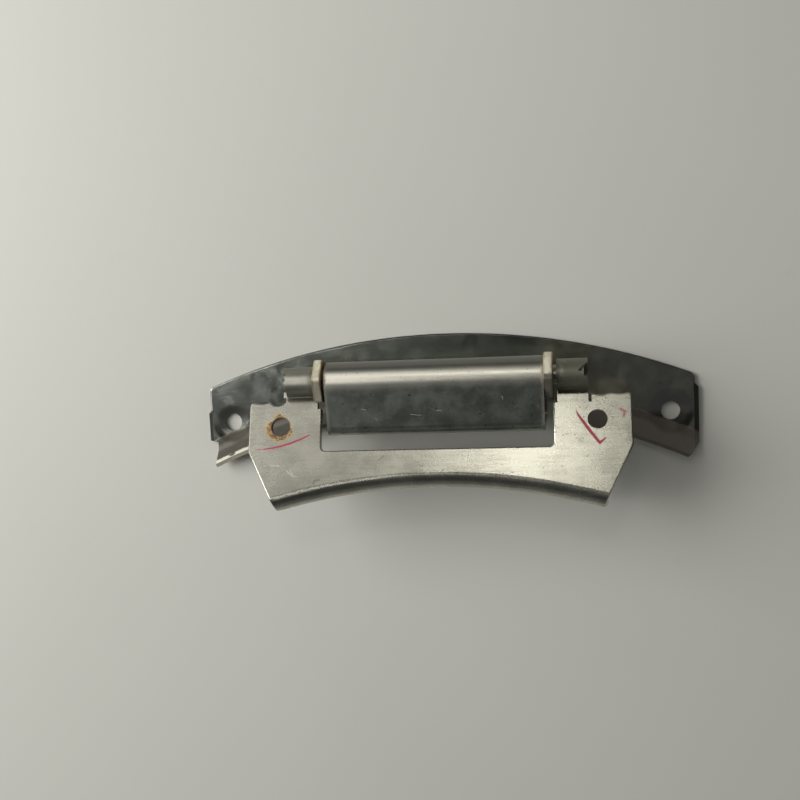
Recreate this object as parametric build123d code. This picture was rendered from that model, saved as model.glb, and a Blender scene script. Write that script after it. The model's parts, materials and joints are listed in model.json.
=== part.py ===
from build123d import *
from math import acos, cos, degrees, hypot, radians, sin, sqrt, tan
import os

# Washing machine door hinge, lying on the back of its plate.
# X runs along the pin, Y away from the door's centre and Z up, out of the machine's front.
# The origin is midway between the two screw holes of the plate, on its back face.
# Sizes in millimetres, angles in degrees.

# Sheet steel and pin
sheet = 1.5
rolled_edge = 0.4
pin_diameter = 5.0
pin_fit = 0.02
curl_gap = 0.5
pin_setback = 1.8
pin_chamfer = 0.4

# Arc plate, centred on the axis of the porthole
screw_spacing = 122.0
screw_circle_radius = 168.0
screw_hole = 5.0
seat_diameter = 10.6
seat_depth = 0.5
plate_above_screws = 11.5
plate_past_screws = 6.4
plate_corner = 1.5
lip_below_screws = 9.8
lip_run = 3.6
lip_angle = 45.0
lip_bend = 3.0
lip_relief = 2.0

# Tabs on the two ends of the plate, measured from the line of the screw holes
tab_proud_left = 0.6
tab_top_left = 3.2
tab_bottom_left = -5.2
toe_inset_left = 1.6
toe_drop_left = 0.5
tab_proud_right = 0.9
tab_top_right = 7.2
tab_bottom_right = -8.6
toe_inset_right = 2.2
toe_drop_right = 3.6

# Arm, turned up from the middle of the plate and rolled into the barrel
arm_width = 56.4
arm_drop = 14.1
arm_bend = 1.5
arm_lean = 8.0
arm_foot = 6.0
axis_above_screws = 12.3
axis_height = 20.0

# Nylon bushings
bushing_wall = 1.0
bushing_length = 9.0
bushing_fit = 0.03
running_fit = 0.05
flange_thickness = 2.3
flange_across_flats = 11.0
flange_play = 0.9
pulled_out_left = 0.7
flange_clearance = 0.3
flange_turn_left = 11.0
flange_turn_right = -4.0

# Bracket, seen flat: drops are measured down from the pin's axis
knuckle_length = 8.6
ear_width = 19.7
ear_drop = 4.4
ear_corner = 1.3
ear_hole_inset = 11.0
ear_hole_drop = 11.2
ear_below_hole = 6.6
bracket_hole = 5.0
window_clearance = 2.1
window_gap = 3.8
window_corner = 1.3
bar_height = 10.0
bar_radius = 158.0
bar_bend = 2.0
foot_inset = 7.6
foot_fall = 15.4
flange_depth = 11.0
flange_lean = 10.0
opened_angle = 20.0

# Nibbled ear edges and crimped knuckle ends
bite_depths_left = (1.1, 0.4)
bite_depths_right = (0.5, 0.35)
bite_margin = 0.8
crimp_depth = 2.4
crimp_width = 4.4
crimp_shortening = 0.8
torn_depth = 1.3
torn_tooth = 0.45
torn_top = 2.2
torn_pitch = 0.8
torn_steps = 7

# Derived places
porthole_y = -sqrt(screw_circle_radius**2 - (screw_spacing / 2) ** 2)
dish_radius = (seat_diameter**2 / 4 + seat_depth**2) / (2 * seat_depth)
plate_top_radius = screw_circle_radius + plate_above_screws
lip_tip_radius = screw_circle_radius - lip_below_screws
plate_half_width = screw_spacing / 2 + plate_past_screws
barrel_bore = pin_diameter + 2 * (running_fit + bushing_wall + bushing_fit)
barrel_radius = barrel_bore / 2 + sheet
knuckle_radius = pin_diameter / 2 + pin_fit + sheet
flange_corner = flange_across_flats / 2 / cos(radians(30))
arm_half = arm_width / 2
knuckle_inner = arm_half + flange_thickness + flange_play
knuckle_outer = knuckle_inner + knuckle_length
window_half = arm_half + window_clearance
ear_outer = window_half + ear_width
bite_chord = (ear_outer - knuckle_outer - bite_margin) / len(bite_depths_left)
ear_low = ear_hole_drop + ear_below_hole
window_drop = arm_drop + window_gap
bar_drop = window_drop + bar_height
shoulder_drop = flange_corner + flange_clearance
bracket_face = knuckle_radius - sheet
pin_length = 2 * (knuckle_outer - pin_setback)
heel_depth = bracket_face + flange_depth


def rolled_strip(approach, radius, start_angle, sense, width):
    # A strip of sheet that follows its approach and is then rolled round the pin's axis, all but a gap
    middle = radius - sheet / 2
    turn = 360 - degrees(acos((radius - sheet - curl_gap) / radius))
    curl = CenterArc((0, 0), middle, start_angle, sense * turn)
    section = trace(approach + curl, sheet)
    return extrude(Plane.YZ * section, width / 2, both=True)


def turned_section(path, axis_y):
    # A sheet section turned half round the upright axis at axis_y, on its +Y side
    half_ring = revolve(Plane.XZ * trace(path, sheet), Axis.Z, 180)
    return Pos(0, axis_y, 0) * half_ring


def opening_above(half_width, drop):
    # A rectangle that reaches from a drop below the pin's axis up to the axis
    rectangle = Rectangle(2 * half_width, drop, align=(Align.CENTER, Align.MIN))
    return Pos(0, -drop) * rectangle


def front_cut(corners):
    # A cutter through the front half of a knuckle
    return extrude(make_face(Polyline(*corners, close=True)), 2 * knuckle_radius)


def rolled_over(skin):
    # The pressing that has these faces as its outer skin, with the punched edges round them rolled over,
    # but not where the straps of the knuckles go on from the face
    edges = [edge for face in skin for edge in face.edges()]
    rim = [edge for edge in edges if sum(edge.is_same(other) for other in edges) == 1]
    return fillet([edge for edge in rim if not under_strap(edge.center())], rolled_edge)


def under_strap(place):
    near = sheet / 2
    return abs(place.X) < knuckle_outer + near and place.Y > -shoulder_drop - near


def plate_end(sign, proud, tab_top, tab_bottom, toe_inset, toe_drop):
    # One end of the plate from top to bottom: straight side, tab, then the narrower toe of the lip
    tab_half = plate_half_width + proud
    toe_half = plate_half_width - toe_inset
    return [
        (sign * plate_half_width, plate_top_radius),
        (sign * plate_half_width, tab_top),
        (sign * tab_half, tab_top - proud),
        (sign * tab_half, tab_bottom),
        (sign * toe_half, tab_bottom - toe_drop),
        (sign * toe_half, -plate_top_radius),
    ]


def hinge_plate():
    # Flat arc with its concave edge turned up into a lip
    tip = lip_tip_radius + sheet / 2 * sin(radians(lip_angle))
    fold = tip + lip_run
    rise = lip_run * tan(radians(lip_angle))
    middle = sheet / 2
    points = [(plate_top_radius, middle), (fold, middle), (tip, middle + rise)]
    section = FilletPolyline(*points, radius=lip_bend + sheet / 2)
    plate = turned_section(section, porthole_y)

    right_end = (tab_proud_right, tab_top_right, tab_bottom_right, toe_inset_right, toe_drop_right)
    left_end = (tab_proud_left, tab_top_left, tab_bottom_left, toe_inset_left, toe_drop_left)
    right = plate_end(1, *right_end)
    left = plate_end(-1, *left_end)
    ends = make_face(Polyline(*right, *reversed(left), close=True))
    plate &= extrude(ends, plate_top_radius, both=True)
    top_corners = plate.edges().filter_by(Axis.Z).group_by(Axis.Y)[-1]
    plate = fillet(top_corners, plate_corner)

    top = plate.faces().filter_by(Plane.XY).sort_by(Axis.Z)[-1]
    top_edge = top.edges().filter_by(GeomType.CIRCLE).sort_by(SortBy.RADIUS)[-1]
    plate = fillet(top_edge, rolled_edge)

    # The lip stops short of the arm on both sides
    gap = 2 * (arm_half + lip_relief)
    lip_top = sheet + rise + sheet
    within_fold = Pos(0, porthole_y, 0) * Cylinder(fold + sheet, 2 * lip_top)
    plate -= within_fold & Box(gap, plate_top_radius, 2 * lip_top)

    # Screw holes in round dished seats
    for sign in (-1, 1):
        place = Pos(sign * screw_spacing / 2, 0, 0)
        ball = Pos(0, 0, sheet - seat_depth + dish_radius) * Sphere(dish_radius)
        plate -= place * (ball & Cylinder(seat_diameter / 2, 4 * sheet))
        plate -= place * Cylinder(screw_hole / 2, 2 * sheet)

    # Arm: flat foot, upright wall, front leaf leaning back at its bottom, then the barrel
    middle = barrel_radius - sheet / 2
    lean = radians(arm_lean)
    tangent = (-middle * sin(lean), middle * cos(lean))
    wall = sheet / 2 - arm_drop
    back = sheet / 2 - axis_height
    knee = (wall, tangent[1] + (wall - tangent[0]) * tan(lean))
    approach = FilletPolyline((arm_foot, back), (wall, back), knee, tangent, radius=arm_bend + sheet / 2)
    arm = rolled_strip(approach, barrel_radius, 90 + arm_lean, -1, arm_width)
    return plate + Pos(0, axis_above_screws, axis_height) * arm


def knuckle(sign):
    # One ear's strap rolled over the pin, with its outer end crimped or torn
    middle = knuckle_radius - sheet / 2
    approach = Line((-shoulder_drop - sheet, -middle), (0, -middle))
    length = knuckle_length - crimp_shortening if sign > 0 else knuckle_length
    strip = rolled_strip(approach, knuckle_radius, -90, 1, length)
    strip = Pos(sign * (knuckle_inner + length / 2), 0, 0) * strip
    if sign > 0:
        end = knuckle_inner + length
        return strip - front_cut([(end, -crimp_width / 2), (end - crimp_depth, 0), (end, crimp_width / 2)])
    corners = [(-knuckle_outer, torn_top)]
    for step in range(torn_steps):
        depth = torn_depth - torn_tooth * (step % 2)
        corners.append((depth - knuckle_outer, torn_top - torn_pitch * (step + 1)))
    return strip - front_cut([*corners, (-knuckle_outer, -2 * knuckle_radius)])


def bracket():
    # Face and deep flange turned as one section, the flange leaning under the bar, then cut to the outline
    centre = -bar_drop - bar_radius
    face = -knuckle_radius + sheet / 2
    reach = hypot(ear_outer, ear_drop + centre) + ear_width
    wall = bar_radius + sheet / 2
    heel = wall + flange_depth * tan(radians(flange_lean))
    points = [(reach, face), (wall, face), (heel, -heel_depth)]
    section = FilletPolyline(*points, radius=bar_bend + sheet / 2)
    turned = turned_section(section, centre)

    slope = foot_inset / foot_fall
    toe_drop = bar_drop + bar_radius - sqrt(bar_radius**2 - ear_outer**2)
    toe_half = ear_outer - slope * (toe_drop - ear_low)
    half = [(toe_half, -toe_drop), (ear_outer, -ear_low), (ear_outer, -ear_drop)]
    mirrored = [(-x, y) for x, y in reversed(half)]
    outline = make_face(Polyline(*half, *mirrored, close=True))
    outline = fillet(outline.vertices().group_by(Axis.Y)[-1], ear_corner)
    window = opening_above(window_half, window_drop)
    outline -= fillet(window.vertices().group_by(Axis.Y)[0], window_corner)
    outline -= opening_above(knuckle_outer, shoulder_drop)

    # The scalloped top edge beside each knuckle
    for sign, depths in ((-1, bite_depths_left), (1, bite_depths_right)):
        for step, depth in enumerate(depths):
            along = knuckle_outer + bite_chord * (step + 0.5)
            bite_radius = (bite_chord**2 / 4 + depth**2) / (2 * depth)
            outline -= Pos(sign * along, bite_radius - depth - ear_drop) * Circle(bite_radius)
    body = turned & extrude(outline, 2 * heel_depth, both=True)

    front = body.faces().filter_by(Plane.XY).sort_by(Axis.Z)[-1]
    bend = body.faces().filter_by(GeomType.TORUS).sort_by(Axis.Z)[-1]
    flange = body.faces().filter_by(GeomType.CONE).sort_by(Axis.Y)[0]
    body = rolled_over([front, bend, flange])

    # Knuckles and screw holes
    for sign in (-1, 1):
        body += knuckle(sign)
        screw_place = Pos(sign * (window_half + ear_hole_inset), -ear_hole_drop)
        body -= screw_place * Cylinder(bracket_hole / 2, 2 * heel_depth)
    return on_axis(Rot(X=-opened_angle) * body)


def hinge_pin():
    rod = Rot(Y=90) * Cylinder(pin_diameter / 2, pin_length)
    return on_axis(chamfer(rod.edges(), pin_chamfer))


def bushing(sign, turn, pulled_out):
    # Sleeve inside the barrel and a hexagonal flange between barrel and knuckle, a corner near the front
    bore = pin_diameter / 2 + running_fit
    sleeve = Circle(bore + bushing_wall) - Circle(bore)
    hexagon = Rot(Z=90 - sign * turn) * RegularPolygon(flange_corner, 6) - Circle(bore)
    body = extrude(Plane.YZ * sleeve, -bushing_length) + extrude(Plane.YZ * hexagon, flange_thickness)
    body = Pos(arm_half + pulled_out, 0, 0) * body
    return on_axis(body if sign > 0 else Rot(Z=180) * body)


def on_axis(shape):
    return Pos(0, axis_above_screws, axis_height) * shape


os.makedirs("parts", exist_ok=True)
nodes = {
    "hinge_plate": hinge_plate(),
    "bracket": bracket(),
    "hinge_pin": hinge_pin(),
    "bushing_left": bushing(-1, flange_turn_left, pulled_out_left),
    "bushing_right": bushing(1, flange_turn_right, 0),
}
for name, shape in nodes.items():
    export_step(shape, f"parts/{name}.step")
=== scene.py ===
import bpy
import bmesh
import json
import math
from mathutils import Matrix, Vector


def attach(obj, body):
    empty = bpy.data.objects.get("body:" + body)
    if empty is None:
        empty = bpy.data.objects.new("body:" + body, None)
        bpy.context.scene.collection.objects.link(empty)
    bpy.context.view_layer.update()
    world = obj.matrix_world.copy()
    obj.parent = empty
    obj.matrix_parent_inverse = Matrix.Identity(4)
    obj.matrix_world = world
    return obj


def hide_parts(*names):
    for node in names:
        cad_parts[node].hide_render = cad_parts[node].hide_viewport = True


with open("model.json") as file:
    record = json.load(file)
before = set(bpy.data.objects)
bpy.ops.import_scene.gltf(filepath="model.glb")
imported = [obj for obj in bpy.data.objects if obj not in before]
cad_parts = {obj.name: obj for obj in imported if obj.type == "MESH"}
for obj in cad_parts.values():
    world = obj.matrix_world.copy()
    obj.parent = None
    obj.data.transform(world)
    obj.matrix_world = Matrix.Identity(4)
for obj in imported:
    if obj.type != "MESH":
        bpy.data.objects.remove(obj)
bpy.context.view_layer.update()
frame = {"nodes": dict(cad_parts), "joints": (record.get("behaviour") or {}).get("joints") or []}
nodes = frame["nodes"]
print("frame loaded:", ", ".join(sorted(nodes)))

mm = 0.001
swing = frame["joints"][0]
axisY, axisZ = (swing["pos_m"][1] / mm, swing["pos_m"][2] / mm)
opened = math.radians(-swing["range_deg"][0])  # the bracket lies this far off the plate's plane
studio = bpy.context.scene
studio.view_settings.view_transform = "Standard"


# Camera at the angle of the photograph, in a square frame

camera = {
    "place": (0.03586, 0.03600, 0.28840),
    "look": (-0.16450, -0.10606, -0.98066),
    "top": (0.02867, 0.99327, -0.11223),
    "focalPixels": 1050,
    "framePixels": 800,
    "sensor": 36.0,
}


def addCamera(s):
    back = -Vector(s["look"]).normalized()
    side = Vector(s["top"]).cross(back).normalized()
    data = bpy.data.cameras.new("benchCamera")
    data.sensor_fit = "HORIZONTAL"
    data.sensor_width = s["sensor"]
    data.lens = s["sensor"] * s["focalPixels"] / s["framePixels"]
    data.clip_start = 0.005
    eye = bpy.data.objects.new("benchCamera", data)
    turn = Matrix((side, back.cross(side), back)).transposed().to_4x4()
    eye.matrix_world = Matrix.Translation(s["place"]) @ turn
    studio.collection.objects.link(eye)
    studio.camera = eye


addCamera(camera)
print("camera set")


# Soft light: a window low on the left, a pale wall and ceiling behind, a small lamp

lamps = {
    "window": {"place": (-0.649, 0.198, 0.424), "size": (0.70, 0.60),
               "power": 7.70, "tint": (1.0, 0.99, 0.965)},
    "wall": {"place": (-0.150, 0.372, 0.446), "size": (0.26, 0.28),
             "power": 0.15, "tint": (1.0, 0.985, 0.93)},
    "ceiling": {"place": (-0.168, 0.066, 0.572), "size": (0.18, 0.06),
                "power": 0.10, "tint": (1.0, 0.985, 0.93)},
    "lamp": {"place": (0.0, 0.294, 0.523), "size": (0.06, 0.06),
             "power": 0.135, "tint": (1.0, 0.98, 0.90)},
}


def addLamp(name, s):
    data = bpy.data.lights.new(name, "AREA")
    data.shape = "RECTANGLE"
    data.size, data.size_y = s["size"]
    data.energy = s["power"]
    data.color = s["tint"]
    lamp = bpy.data.objects.new(name, data)
    outward = Vector(s["place"]).normalized()
    level = (Vector((1, 0, 0)) - outward * outward.x).normalized()
    turn = Matrix((level, outward.cross(level), outward)).transposed().to_4x4()
    lamp.matrix_world = Matrix.Translation(s["place"]) @ turn
    studio.collection.objects.link(lamp)


for lampName, lampSettings in lamps.items():
    addLamp(lampName, lampSettings)
print("lights set")


# Shader maths: a Wire is a socket that can be added, scaled and compared like a number

class Wire:
    def __init__(self, finish, socket):
        self.finish = finish
        self.socket = socket

    def math(self, operation, *values):
        return self.finish.add("ShaderNodeMath", {"operation": operation}, dict(enumerate((self, *values))))

    def __add__(self, other):
        return self.math("ADD", other)

    def __sub__(self, other):
        return self.math("SUBTRACT", other)

    def __rsub__(self, other):
        return self.finish.add("ShaderNodeMath", {"operation": "SUBTRACT"}, {0: other, 1: self})

    def __mul__(self, other):
        return self.math("MULTIPLY", other)

    def __truediv__(self, other):
        return self.math("DIVIDE", other)

    def __pow__(self, other):
        return self.math("POWER", other)

    def __abs__(self):
        return self.math("ABSOLUTE")

    def over(self, other):
        return self.math("MAXIMUM", other)

    def under(self, other):
        return self.math("MINIMUM", other)

    __radd__ = __add__
    __rmul__ = __mul__


class Finish:
    def __init__(self, owner, shader="Principled BSDF"):
        owner.use_nodes = True
        self.owner = owner
        self.tree = owner.node_tree
        self.shader = self.tree.nodes[shader]

    def add(self, kind, settings=None, sockets=None, out=0):
        node = self.tree.nodes.new(kind)
        for key, value in (settings or {}).items():
            setattr(node, key, value)
        for key, value in (sockets or {}).items():
            self.feed(node.inputs[key], value)
        return Wire(self, node.outputs[out])

    def feed(self, socket, value):
        if isinstance(value, Wire):
            self.tree.links.new(value.socket, socket)
        elif socket.type == "RGBA" and len(value) == 3:
            socket.default_value = (*value, 1)
        else:
            socket.default_value = value

    def set(self, **values):
        for key, value in values.items():
            self.feed(self.shader.inputs[key.replace("_", " ")], value)

    def vector(self, operation, *values, **named):
        sockets = {**dict(enumerate(values)), **named}
        return self.add("ShaderNodeVectorMath", {"operation": operation}, sockets)

    # Places in millimetres, as the piece lies in the frame
    def millimetres(self):
        return self.vector("SCALE", self.add("ShaderNodeTexCoord", out="Object"), Scale=1 / mm)

    def split(self, vector):
        node = self.tree.nodes.new("ShaderNodeSeparateXYZ")
        self.feed(node.inputs[0], vector)
        return [Wire(self, socket) for socket in node.outputs]

    def noise(self, place, scale, detail=3.0, roughness=0.5, out=0):
        sockets = {"Vector": place, "Scale": scale, "Detail": detail, "Roughness": roughness}
        return self.add("ShaderNodeTexNoise", {"noise_dimensions": "3D"}, sockets, out)

    # A place pushed about by a noise, so that borders wander
    def wander(self, place, scale, reach):
        push = self.vector("SUBTRACT", self.noise(place, scale, 2.0, 0.5, "Color"), (0.5, 0.5, 0.5))
        return self.vector("ADD", place, self.vector("SCALE", push, Scale=reach))

    # One random value for each crystal
    def crystals(self, place, scale):
        sockets = {"Vector": place, "Scale": scale, "Smoothness": 0.6}
        return self.add("ShaderNodeTexVoronoi", {"feature": "SMOOTH_F1"}, sockets, "Color")

    # 0 at low, 1 at high, smooth between; low may be the larger
    def ease(self, value, low, high):
        sockets = {"Value": value, "From Min": low, "From Max": high}
        return self.add("ShaderNodeMapRange", {"interpolation_type": "SMOOTHSTEP"}, sockets)

    def blend(self, share, first, second):
        return self.add("ShaderNodeMix", {"data_type": "RGBA"}, {0: share, 6: first, 7: second}, out=2)

    def bump(self, height, strength, distance):
        sockets = {"Height": height, "Strength": strength, "Distance": distance}
        return self.add("ShaderNodeBump", None, sockets)

    # 1 on a line through points, fading over soft; each point is (x, y, half width)
    def stroke(self, x, y, points, soft):
        mask = None
        for (ax, ay, aw), (bx, by, bw) in zip(points, points[1:]):
            dx, dy = bx - ax, by - ay
            px, py = x - ax, y - ay
            along = ((px * dx + py * dy) / (dx * dx + dy * dy)).over(0.0).under(1.0)
            away = ((px - along * dx) ** 2.0 + (py - along * dy) ** 2.0) ** 0.5
            one = self.ease(away - (along * (bw - aw) + aw), soft, -soft)
            mask = one if mask is None else mask.over(one)
        return mask

    def strokes(self, x, y, lines, soft):
        mask = self.stroke(x, y, lines[0], soft)
        for line in lines[1:]:
            mask = mask.over(self.stroke(x, y, line, soft))
        return mask

    # Places on the bracket: x along the pin, v up its face from the axis, w out of its face
    def onBracket(self, place):
        x, y, z = self.split(place)
        v = (y - axisY) * math.cos(opened) - (z - axisZ) * math.sin(opened)
        w = (y - axisY) * math.sin(opened) + (z - axisZ) * math.cos(opened)
        return x, v, w


# A dim room, paler low down, most of all to the right

room = {
    "tint": (0.98, 1.0, 0.97),
    "high": 0.046,  # strength overhead
    "low": 0.506,  # strength at the horizon, straight to the right
    "right": 0.7391,  # share of the low light that comes from the right alone
    "fade": (0.74, 0.26),  # sines of the elevations where the low light begins and where it is full
}


def addRoom(s):
    f = Finish(bpy.data.worlds.new("room"), "Background")
    x, y, z = f.split(f.add("ShaderNodeTexCoord", out="Generated"))
    share = f.ease(z, *s["fade"]) * (f.ease(x, 0.0, 0.8) * s["right"] + (1 - s["right"]))
    f.set(Color=s["tint"], Strength=s["high"])
    high = Wire(f, f.shader.outputs[0])
    low = f.add("ShaderNodeBackground", None, {"Color": s["tint"], "Strength": s["low"]})
    both = f.add("ShaderNodeMixShader", None, {0: share, 1: high, 2: low})
    f.feed(f.tree.nodes["World Output"].inputs["Surface"], both)
    studio.world = f.owner


addRoom(room)
print("room set")


# Dull zinc of the arc plate and its arm: soft crystals, fine grain, a few pale scratches on the leaf

plateZinc = {
    "deep": (0.29, 0.31, 0.28),
    "pale": (0.48, 0.51, 0.47),
    "paintedShade": (0.165, 0.175, 0.158),  # painted shade over the middle of the plate and over the leaf
    # pale left end: partly the zinc's own pale patches, partly painted light
    "leftEndPaleAndLit": (0.60, 0.63, 0.57),
    # painted light lifting the right end of the plate
    "rightEndPaintedLight": (0.66, 0.64, 0.56),
    "seat": (0.46, 0.475, 0.43),
    "seatLowerTone": (0.085, 0.085, 0.07),  # in the lower half of the seats
    "wornAndSheen": (0.78, 0.755, 0.665),  # the barrel, bright zinc, paler along the band where the lamp's streak falls as a painted highlight
    # painted shade on the top of the barrel
    "barrelTopShade": (0.15, 0.155, 0.14),
    "speckTone": (0.08, 0.08, 0.075),
    "scratchTone": (0.75, 0.76, 0.74),
    "crystal": 0.34,
    "roughness": 0.215,
    "stain": (0.10, 0.075, 0.045),
    "barrelEnd": 28.2,
    "porthole": -156.53,  # y of the axis that the arcs are struck from
    "sheared": 160.0,  # inside this radius the lip's cut edge is bare steel, painted pale as lit towards the left end
    "shearedLitTone": (0.70, 0.67, 0.56),
    "shearedLitFrom": (-49.0, -57.0),
    "notchShade": [(-61.6, -9.1, 0.28), (-60.8, -8.8, 0.42), (-60.2, -8.5, 0.20)],  # painted shade of a small notch in that edge
    "notchShadeTone": (0.03, 0.026, 0.02),
    "lip": 165.4,  # inside this radius the sheet turns up, its colour darkened as painted shade
    "lipShadeTone": (0.078, 0.069, 0.055),
    "lipRightShadeTone": (0.15, 0.125, 0.105),
    # the rim's own dark nicked edge, deepened by painted shade
    "rimShadeTone": (0.075, 0.072, 0.06),
    "outer": 179.0,  # the plate's rim lies past this radius or past this half length
    "end": 66.9,
    "screw": (61.0, 6.6),  # half spacing of the screw holes, reach of the dull seats
    "scratches": [
        [(-18.8, 5.3, 0.05), (-17.5, 5.1, 0.09)],
        [(-15.2, 2.8, 0.08), (-14.7, 2.2, 0.05)],
        [(-5.9, 3.6, 0.10), (-3.2, 3.3, 0.06)],
        [(0.8, 4.5, 0.06), (2.0, 4.4, 0.08)],
        [(17.3, 7.7, 0.06), (17.8, 7.6, 0.10), (17.8, 6.8, 0.06)],
        [(26.5, 5.0, 0.10), (26.7, 4.8, 0.10)],
        [(54.3, -4.8, 0.12), (54.6, -4.8, 0.12)],
    ],
}


def plateFinish(s):
    f = Finish(bpy.data.materials.new("dullZinc"))
    place = f.millimetres()
    x, y, z = f.split(place)
    flat = f.ease(z, 6.0, 2.0)  # the leaf and the barrel were drawn smooth
    crystal = f.crystals(f.wander(place, 0.5, 3.0), s["crystal"])
    blotch = f.noise(place, 0.20, 5.0, 0.62)
    grain = f.noise(place, 2.0, 4.0, 0.65)
    tone = f.ease((crystal - 0.5) * (flat * 0.24 + 0.06) + blotch * 0.6 + grain * 0.2, 0.26, 0.56)
    colour = f.blend(tone, s["deep"], s["pale"])
    # Painted shade darkens the middle of the flat plate
    colour = f.blend(flat * f.ease(x, -46.0, -20.0) * f.ease(x, 55.0, 14.0) * 0.85, colour, s["paintedShade"])
    # Paler left end: partly the zinc's own patches, partly painted light
    colour = f.blend(flat * f.ease(x, -50.0, -60.0) * 0.5, colour, s["leftEndPaleAndLit"])
    # Painted light lifts the right end of the plate
    colour = f.blend(flat * f.ease(x, 18.0, 48.0) * 0.75, colour, s["rightEndPaintedLight"])
    # Painted shade darkens the leaf, the wall and the barrel
    colour = f.blend((1.0 - flat) * 0.3, colour, s["paintedShade"])
    specks = f.ease(f.noise(place, 1.1, 2.0, 0.5), 0.66, 0.72)
    colour = f.blend(specks * 0.6, colour, s["speckTone"])
    scratch = f.strokes(x, y, s["scratches"], 0.08)
    colour = f.blend(scratch * 0.7, colour, s["scratchTone"])
    raised = f.ease(z, 14.0, 20.0)
    # Bright zinc on the barrel's band, partly a painted highlight where the lamp's streak falls
    barrel = raised * f.ease(y, axisY - 2.5, axisY)
    colour = f.blend(barrel, colour, s["wornAndSheen"])
    # Painted shade darkens the top of the barrel
    colour = f.blend(raised * f.ease(y, axisY + 2.2, axisY + 3.6) * 0.9, colour, s["barrelTopShade"])
    pits = f.ease(f.noise(place, 2.2, 2.0, 0.5), 0.67, 0.73) * barrel
    colour = f.blend(pits * 0.6, colour, s["stain"])
    stain = f.ease(abs(x) + (grain - 0.5) * 2.0, s["barrelEnd"] - 0.9, s["barrelEnd"])
    stain = stain * f.ease(z, 19.0, 22.0)
    colour = f.blend(stain * 0.75, colour, s["stain"])

    # The lip, dull and darkened by painted shade, with its cut edge pale and painted as lit at the left end
    outside = f.ease(abs(x), s["barrelEnd"] + 1.0, s["barrelEnd"] + 2.0)
    radius = (x ** 2.0 + (y - s["porthole"]) ** 2.0) ** 0.5
    lip = f.ease(radius + (blotch - 0.5) * 2.0, s["lip"] + 0.4, s["lip"] - 0.4) * outside
    sheared = f.ease(radius + (grain - 0.5) * 0.9, s["sheared"] + 0.2, s["sheared"] - 0.2)
    sheared = sheared * f.ease(x + (blotch - 0.5) * 8.0, *s["shearedLitFrom"])
    rim = f.ease(radius, s["outer"], s["outer"] + 0.3).over(f.ease(abs(x), s["end"], s["end"] + 0.3))
    screw, reach = s["screw"]
    seat = f.ease(((abs(x) - screw) ** 2.0 + y ** 2.0) ** 0.5, reach, reach - 1.0) * flat
    # The seats darker towards the bottom
    seatLower = f.ease(y + (grain - 0.5) * 1.5, 0.8, -1.6)
    colour = f.blend(seat * 0.85, colour, f.blend(seatLower, s["seat"], s["seatLowerTone"]))
    # Dark rim: its own nicked edge, deepened by painted shade
    colour = f.blend(rim * 0.95, colour, s["rimShadeTone"])
    # Painted shade darkens the lip, less at the right end
    colour = f.blend(lip * 0.92, colour, f.blend(f.ease(x, -10.0, 40.0), s["lipShadeTone"], s["lipRightShadeTone"]))
    # Bare cut edge, painted pale as lit, at the left end only
    colour = f.blend(sheared * f.ease(grain, 0.28, 0.40), colour, s["shearedLitTone"])
    # Painted shade of the small notch in the cut edge
    colour = f.blend(f.stroke(x, y, s["notchShade"], 0.2) * 0.9, colour, s["notchShadeTone"])
    f.set(Base_Color=colour, Metallic=1.0 - (stain * 0.6).over(sheared * 0.9).over(lip * 0.15))
    dull = (stain * 0.2).over(sheared * 0.25).over(lip * 0.38).over(rim * 0.1) + raised * 0.15
    f.set(Roughness=tone * 0.05 + dull + scratch * 0.15 + (s["roughness"] - 0.025))
    f.set(Normal=f.bump(grain * (raised * 2.0 + 1.0), 0.2, 0.00003))
    return f.owner


# Bright zinc of the bracket, with its rust ring, pen marks and scratches, all placed from the pin's axis

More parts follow.
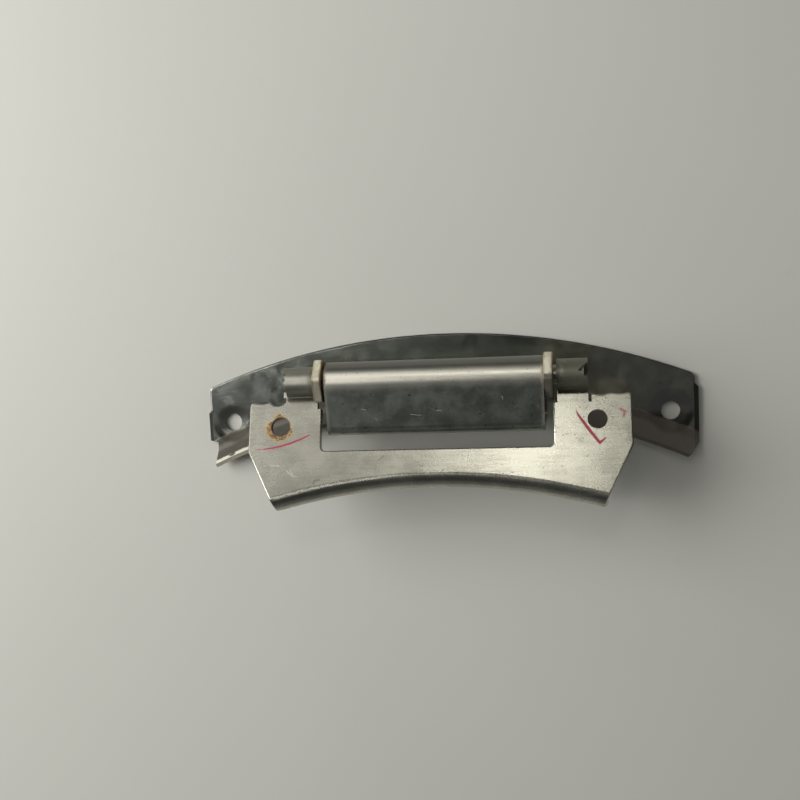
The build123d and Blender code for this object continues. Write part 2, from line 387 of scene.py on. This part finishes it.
bracketZinc = {
    "deep": (0.37, 0.36, 0.31),
    "pale": (0.54, 0.53, 0.46),
    "roughness": 0.265,
    "speckTone": (0.10, 0.095, 0.085),
    "scratchTone": (0.93, 0.92, 0.89),
    "face": -2.52,  # w of the front face
    "hole": (-41.3, -11.2, 2.5),  # x, v and radius of the rusty hole
    # Rust lobes round that hole: direction and half spread in degrees, reach past the hole
    "rust": [(205, 62, 1.45), (268, 44, 1.35), (322, 30, 1.05), (104, 26, 0.95)],
    "rustTone": (0.36, 0.185, 0.045),
    "rustDark": (0.085, 0.04, 0.018),
    "rustHalo": (0.52, 0.38, 0.17),
    "rustTan": (0.47, 0.35, 0.13),
    "edges": [  # sheared sides, left and right, darkened as painted shade
        [(-50.0, -2.0, 0.35), (-50.0, -17.8, 0.35), (-42.4, -35.0, 0.35)],
        [(50.0, -2.0, 0.35), (50.0, -17.8, 0.35), (42.4, -35.0, 0.35)],
    ],
    "edgeShadeTone": (0.055, 0.053, 0.045),
    # grease on the knuckles, also the tone of their painted shade
    "grimeAndShade": (0.11, 0.11, 0.075),
    "barrel": 4.3,  # reach of the rolled knuckles from the pin's axis
    "knuckle": 31.4,  # where the knuckles begin, beside the bushings
    "penTone": (0.37, 0.022, 0.06),
    "penLine": {"start": -47.9, "end": -33.4, "level": -17.27, "bow": 0.0172, "half": 0.29},
    "penTick": [(36.0, -9.0, 0.06), (36.74, -10.40, 0.26), (39.2, -14.0, 0.40), (41.66, -17.34, 0.34),
                (43.11, -16.14, 0.16)],
    "smudge": [(47.1, -8.8, 0.25), (48.1, -9.5, 0.35), (47.8, -10.6, 0.20)],
    "darkScratches": [
        [(-32.0, -26.7, 0.10), (-31.5, -25.7, 0.10), (-30.2, -25.6, 0.07)],
        [(-15.1, -20.9, 0.06), (-13.4, -19.6, 0.12)],
        [(0.8, -25.0, 0.06), (2.3, -23.4, 0.10)],
        [(38.2, -8.8, 0.05), (39.1, -7.6, 0.07)],
        [(44.2, -12.5, 0.06), (46.2, -12.2, 0.05)],
        [(35.9, -8.2, 0.05), (36.5, -10.0, 0.06)],
        [(36.0, -15.9, 0.09), (37.6, -17.2, 0.07)],
        [(36.4, -17.1, 0.06), (37.2, -15.8, 0.06)],
    ],
    "paleScratches": [
        [(-39.3, -23.0, 0.07), (-37.6, -24.5, 0.10), (-36.0, -24.7, 0.05)],
        [(-44.0, -21.4, 0.05), (-41.3, -21.8, 0.09)],
        [(-38.5, -22.6, 0.06), (-37.5, -24.1, 0.09)],
    ],
}


def bracketFinish(s):
    f = Finish(bpy.data.materials.new("brightZinc"))
    place = f.millimetres()
    x, v, w = f.onBracket(place)
    face = f.ease(w, s["face"] - 0.5, s["face"] - 0.15)
    cloud = f.noise(place, 0.14, 4.0, 0.6)
    grain = f.noise(place, 2.6, 4.0, 0.7)
    rolled = f.noise(f.vector("MULTIPLY", place, (0.12, 1.6, 1.6)), 1.0, 3.0, 0.6)
    tone = f.ease(cloud * 0.6 + grain * 0.12 + rolled * 0.28, 0.36, 0.64)
    colour = f.blend(tone, s["deep"], s["pale"])
    # Painted shade: the face darker towards the left, away from the lamp's hot spot
    colour = f.blend(f.ease(x, -5.0, -40.0) * 0.45, colour, s["deep"])

    # Dark specks, thicker in some places than in others
    crowd = f.ease(f.noise(place, 0.11, 2.0, 0.5), 0.42, 0.62) * f.ease(x, -30.0, 25.0)
    specks = f.ease(f.noise(place, 1.7, 2.0, 0.5) + crowd * 0.05, 0.70, 0.76)
    scratch = f.strokes(x, v, s["darkScratches"], 0.08) * face
    colour = f.blend((specks * 0.7).over(scratch * 0.75), colour, s["speckTone"])
    pale = f.strokes(x, v, s["paleScratches"], 0.08) * face
    colour = f.blend(pale * 0.6, colour, s["scratchTone"])

    # Rust round the left hole
    holeX, holeV, holeRadius = s["hole"]
    dx, dv = x - holeX, v - holeV
    away = (dx * dx + dv * dv) ** 0.5
    ragged = f.noise(place, 0.9, 3.0, 0.6)
    reach = None
    for direction, spread, extra in s["rust"]:
        turn = math.radians(direction)
        toward = (dx * math.cos(turn) + dv * math.sin(turn)) / away.over(0.1)
        lobe = f.ease(toward, math.cos(math.radians(spread)), 1.0) ** 0.5 * extra
        reach = lobe if reach is None else reach.over(lobe)
    past = away - holeRadius - reach.over(0.2) - (ragged - 0.5) * 1.3
    near = f.ease(reach, 0.05, 0.4).over(0.6)
    rust = f.ease(past, 0.22, -0.22) * near
    halo = f.ease(past, 0.9, -0.1) * near
    brown = f.ease(f.noise(place, 1.9, 3.0, 0.6) + f.ease(v, holeV, holeV - 2.5) * 0.06, 0.51, 0.58)
    crust = f.blend(f.ease(f.noise(place, 1.3, 2.0, 0.5), 0.48, 0.60), s["rustTone"], s["rustTan"])
    colour = f.blend(halo * 0.5, colour, s["rustHalo"])
    colour = f.blend(rust * 0.9, colour, f.blend(brown, crust, s["rustDark"]))
    rim = f.ease(away + (grain - 0.5) * 0.5, holeRadius + 0.35, holeRadius + 0.1)
    colour = f.blend(rim * 0.75, colour, s["rustDark"])
    rust = rust.over(rim * 0.8)

    # Old grease on the knuckles, thickest by the bushings, with painted shade over their tops and over all
    # of the right knuckle
    curled = f.ease((v * v + w * w) ** 0.5, s["barrel"] + 0.3, s["barrel"])
    inner = s["knuckle"]
    nearBushing = f.ease(abs(x) + (grain - 0.5) * 1.5, inner + 2.2, inner + 0.3)
    rightKnuckleDark = f.ease(x, inner - 1.5, inner) * f.ease(cloud, 0.26, 0.50) * 0.85  # the right one, all round: grime and painted shade
    grimeAndShade = curled * (f.ease(v + (cloud - 0.5) * 2.0, 0.6, 3.2) * 0.72).over(nearBushing * 0.75).over(rightKnuckleDark)
    colour = f.blend(grimeAndShade, colour, s["grimeAndShade"])

    # Red pen
    p = s["penLine"]
    steps = 7
    line = []
    for step in range(steps):
        px = p["start"] + (p["end"] - p["start"]) * step / (steps - 1)
        taper = 0.25 + 0.75 * math.sin(math.pi * (step + 0.5) / (steps + 1))
        line.append((px, p["level"] + p["bow"] * (px - p["start"]) ** 2, p["half"] * taper))
    pen = f.strokes(x, v, [line, s["penTick"]], 0.10)
    pen = pen.over(f.stroke(x, v, s["smudge"], 0.35) * f.ease(grain, 0.36, 0.50)) * face
    ink = pen * f.ease(grain + f.ease(x, -47.0, -43.0) * 0.14, 0.36, 0.54)
    colour = f.blend(ink * 0.95, colour, s["penTone"])
    # Painted shade along the sheared sides
    edge = f.strokes(x, v, s["edges"], 0.2)
    colour = f.blend(edge * 0.95, colour, s["edgeShadeTone"])

    dull = (rust * 0.9).over(ink * 0.9).over(grimeAndShade * 0.3).over(edge * 0.2)
    f.set(Base_Color=colour, Metallic=1.0 - dull)
    rough = grain * 0.03 + cloud * 0.06 + curled * 0.10 + dull * 0.35 + specks * 0.15
    f.set(Roughness=rough + (s["roughness"] - 0.04))
    f.set(Normal=f.bump(grain * 0.5 + rolled * 0.5 - scratch * 0.6 - specks * 0.5, 0.025, 0.00005))
    return f.owner


# Steel of the pin

pinSteel = {
    "deep": (0.24, 0.215, 0.18),
    "pale": (0.46, 0.45, 0.43),
}


def pinFinish(s):
    f = Finish(bpy.data.materials.new("turnedSteel"))
    place = f.millimetres()
    grain = f.noise(place, 3.0, 3.0, 0.6)
    rings = f.noise(f.vector("MULTIPLY", place, (6.0, 0.3, 0.3)), 1.0, 2.0, 0.5)
    f.set(Base_Color=f.blend(grain, s["deep"], s["pale"]), Metallic=1.0)
    f.set(Roughness=rings * 0.25 + 0.25, Normal=f.bump(rings, 0.2, 0.00003))
    return f.owner


# Cream nylon of the bushings, browned by old grease where they meet the barrel and the knuckles

nylon = {
    "pale": (0.66, 0.635, 0.50),
    "deep": (0.52, 0.49, 0.37),
    "grease": (0.24, 0.16, 0.075),
    "shadeBlack": (0.03, 0.026, 0.02),
}
# Where each flange begins and ends along the pin, and how much painted shade darkens its lower half
leftBushing = {"inner": 28.9, "outer": 31.2, "lowerShade": 0.55}
rightBushing = {"inner": 28.2, "outer": 30.5, "lowerShade": 0.85}


def nylonFinish(tones, s):
    f = Finish(bpy.data.materials.new("creamNylon"))
    place = f.millimetres()
    x, y, z = f.split(place)
    cloud = f.noise(place, 0.5, 4.0, 0.6)
    grain = f.noise(place, 2.4, 3.0, 0.6)
    colour = f.blend(f.ease(cloud, 0.35, 0.65), tones["deep"], tones["pale"])
    ragged = (cloud - 0.5) * 1.0 + (grain - 0.5) * 0.5
    atBarrel = f.ease(abs(x) + ragged, s["inner"] + 0.5, s["inner"] + 0.1)
    atKnuckle = f.ease(abs(x) + ragged, s["outer"] - 0.7, s["outer"] - 0.1)
    colour = f.blend(atBarrel.over(atKnuckle) * 0.85, colour, tones["grease"])
    # Painted shade over the lower half of each flange
    lowerShade = f.ease(y + ragged, axisY + 1.3, axisY + 0.5) * s["lowerShade"]
    colour = f.blend(lowerShade, colour, tones["shadeBlack"])
    f.set(Base_Color=colour)
    f.set(Roughness=grain * 0.15 + cloud * 0.1 + 0.32, Normal=f.bump(grain, 0.15, 0.00004))
    return f.owner


# Each stamped or moulded piece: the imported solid, welded, with its sheared edges rounded over

pieces = {
    "platePressing": {"node": "hinge_plate", "body": "plate_side", "slot": "plate_steel", "edge": 0.20 * mm,
                      "finish": plateFinish(plateZinc)},
    "bracketPressing": {"node": "bracket", "body": "door_side", "slot": "bracket_steel", "edge": 0.15 * mm,
                        "finish": bracketFinish(bracketZinc)},
    "hingePin": {"node": "hinge_pin", "body": "door_side", "slot": "pin_steel", "edge": 0.10 * mm,
                 "finish": pinFinish(pinSteel)},
    "bushingLeft": {"node": "bushing_left", "body": "plate_side", "slot": "nylon", "edge": 0.25 * mm,
                    "finish": nylonFinish(nylon, leftBushing)},
    "bushingRight": {"node": "bushing_right", "body": "plate_side", "slot": "nylon", "edge": 0.25 * mm,
                     "finish": nylonFinish(nylon, rightBushing)},
}
welding = {"distance": 0.002 * mm, "flat": math.radians(0.3), "sharp": math.radians(32), "steps": 2}


def roundedPiece(name, s, w):
    solid = bmesh.new()
    solid.from_mesh(nodes[s["node"]].data)
    bmesh.ops.remove_doubles(solid, verts=solid.verts, dist=w["distance"])
    bmesh.ops.dissolve_limit(solid, angle_limit=w["flat"], verts=solid.verts, edges=solid.edges)
    mesh = bpy.data.meshes.new(name)
    solid.to_mesh(mesh)
    solid.free()
    mesh.shade_smooth()
    piece = bpy.data.objects.new(name, mesh)
    studio.collection.objects.link(piece)
    edge = piece.modifiers.new("edge", "BEVEL")
    edge.width = s["edge"]
    edge.segments = w["steps"]
    edge.limit_method = "ANGLE"
    edge.angle_limit = w["sharp"]
    edge.use_clamp_overlap = True
    edge.harden_normals = True
    flats = piece.modifiers.new("flats", "WEIGHTED_NORMAL")
    flats.mode = "FACE_AREA"
    flats.weight = 50
    flats.keep_sharp = True
    bpy.context.view_layer.update()
    shaped = bpy.data.meshes.new_from_object(piece.evaluated_get(bpy.context.evaluated_depsgraph_get()))
    piece.modifiers.clear()
    piece.data = shaped
    shaped.materials.clear()
    shaped.materials.append(s["finish"])
    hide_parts(s["node"])
    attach(piece, s["body"])
    print("piece", name, len(shaped.polygons), "faces")
    return piece


for pieceName, pieceSettings in pieces.items():
    roundedPiece(pieceName, pieceSettings, welding)


# Table top

table = {
    "half": 1.5,
    "level": -0.02 * mm,
    "deep": (0.60, 0.595, 0.55),
    "pale": (0.635, 0.63, 0.585),
    "fleck": (0.55, 0.54, 0.47),
}


def tableFinish(s):
    f = Finish(bpy.data.materials.new("paleBoard"))
    place = f.millimetres()
    cloud = f.noise(place, 0.012, 4.0, 0.5)
    fleck = f.ease(f.noise(place, 0.09, 2.0, 0.5), 0.70, 0.78)
    colour = f.blend(cloud, s["deep"], s["pale"])
    f.set(Base_Color=f.blend(fleck * 0.12, colour, s["fleck"]), Roughness=cloud * 0.1 + 0.5)
    return f.owner


def addTable(s):
    mesh = bpy.data.meshes.new("tableTop")
    h = s["half"]
    corners = [(-h, -h, s["level"]), (h, -h, s["level"]), (h, h, s["level"]), (-h, h, s["level"])]
    mesh.from_pydata(corners, [], [(0, 1, 2, 3)])
    mesh.materials.append(tableFinish(s))
    top = bpy.data.objects.new("tableTop", mesh)
    studio.collection.objects.link(top)


addTable(table)
print("table set")
